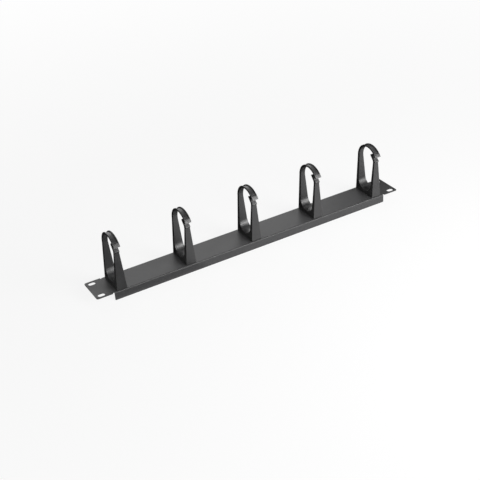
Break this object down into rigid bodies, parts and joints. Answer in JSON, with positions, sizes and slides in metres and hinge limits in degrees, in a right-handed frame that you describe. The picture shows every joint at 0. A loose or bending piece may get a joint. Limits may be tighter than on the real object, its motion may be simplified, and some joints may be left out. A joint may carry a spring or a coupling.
{
  "type": "horizontal cable manager",
  "caption": "One-unit 19-inch rack panel, folded from sheet steel, with a row of moulded snap-gate cable rings that guide patch cables across the rack.",
  "frame": {"origin": "centre of the four rack slots, on the back face of the ears, which meets the rack's rails", "axes": "+X along the panel's length, +Y across the panel (up, once it is in a rack), +Z out of the panel's front, the way the rings stand"},
  "size_m": [0.4826, 0.0462, 0.0895],
  "materials": {
    "panel_coating": "fine-textured satin black powder coat on sheet steel",
    "ring_plastic": "moulded black nylon with a soft sheen",
    "screw_zinc": "bright zinc-plated steel"
  },
  "bodies": {
    "root": {"panel": "panel_coating", "cable_ring_1": "ring_plastic", "cable_ring_2": "ring_plastic", "cable_ring_3": "ring_plastic", "cable_ring_4": "ring_plastic", "cable_ring_5": "ring_plastic", "ring_1_arch_side_screw": "screw_zinc", "ring_1_gate_side_screw": "screw_zinc", "ring_2_arch_side_screw": "screw_zinc", "ring_2_gate_side_screw": "screw_zinc", "ring_3_arch_side_screw": "screw_zinc", "ring_3_gate_side_screw": "screw_zinc", "ring_4_arch_side_screw": "screw_zinc", "ring_4_gate_side_screw": "screw_zinc", "ring_5_arch_side_screw": "screw_zinc", "ring_5_gate_side_screw": "screw_zinc"}
  },
  "joints": []
}
